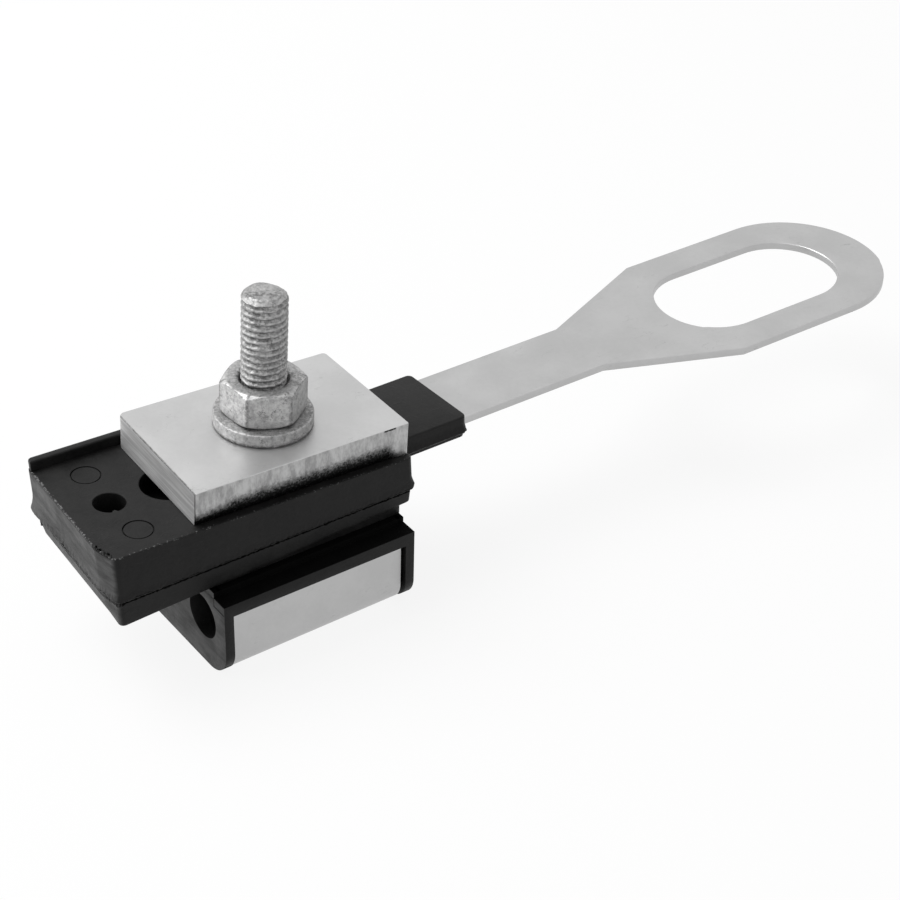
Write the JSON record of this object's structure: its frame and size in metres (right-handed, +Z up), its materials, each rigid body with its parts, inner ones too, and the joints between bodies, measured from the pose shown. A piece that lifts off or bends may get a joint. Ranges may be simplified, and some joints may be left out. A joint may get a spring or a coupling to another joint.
{
  "type": "insulated anchor clamp",
  "caption": "Insulated anchor clamp: a moulded block on a flat eye strap, with a bolted plate above and a twin-bore jaw below.",
  "frame": {"origin": "where the clamp bolt's axis leaves the saddle's underside", "axes": "+X along the strap towards its eye, +Z up through the jaw, block and nut, -Y the long side without the rim"},
  "size_m": [0.2241, 0.0456, 0.077],
  "materials": {
    "black_moulding": "matte",
    "galvanised_strap": "satin",
    "zinc_plate": "satin",
    "galvanised_fastener": "satin",
    "saddle_sheet": "satin"
  },
  "bodies": {
    "block": {"insulating_body": "black_moulding", "anchor_strap": "galvanised_strap", "pressure_plate": "zinc_plate", "flat_washer": "galvanised_fastener"},
    "nut": {"hex_nut": "galvanised_fastener"},
    "jaw": {"lower_jaw": "black_moulding", "saddle_plate": "saddle_sheet", "clamp_bolt": "galvanised_fastener"}
  },
  "joints": [
    {"name": "nut_turn", "type": "hinge", "parent": "block", "child": "nut", "pos_m": [0.00202, 0, 0.04822], "axis": [0.0419, 0, 0.9991], "range_deg": [0, 4320]},
    {"name": "jaw_drop", "type": "slide", "parent": "block", "child": "jaw", "axis": [-0.0419, 0, -0.9991], "range_m": [0, 0.018]}
  ],
  "couplings": [
    {"joint": "nut_turn", "follows": "jaw_drop", "rad_per_m": 4188.8}
  ]
}
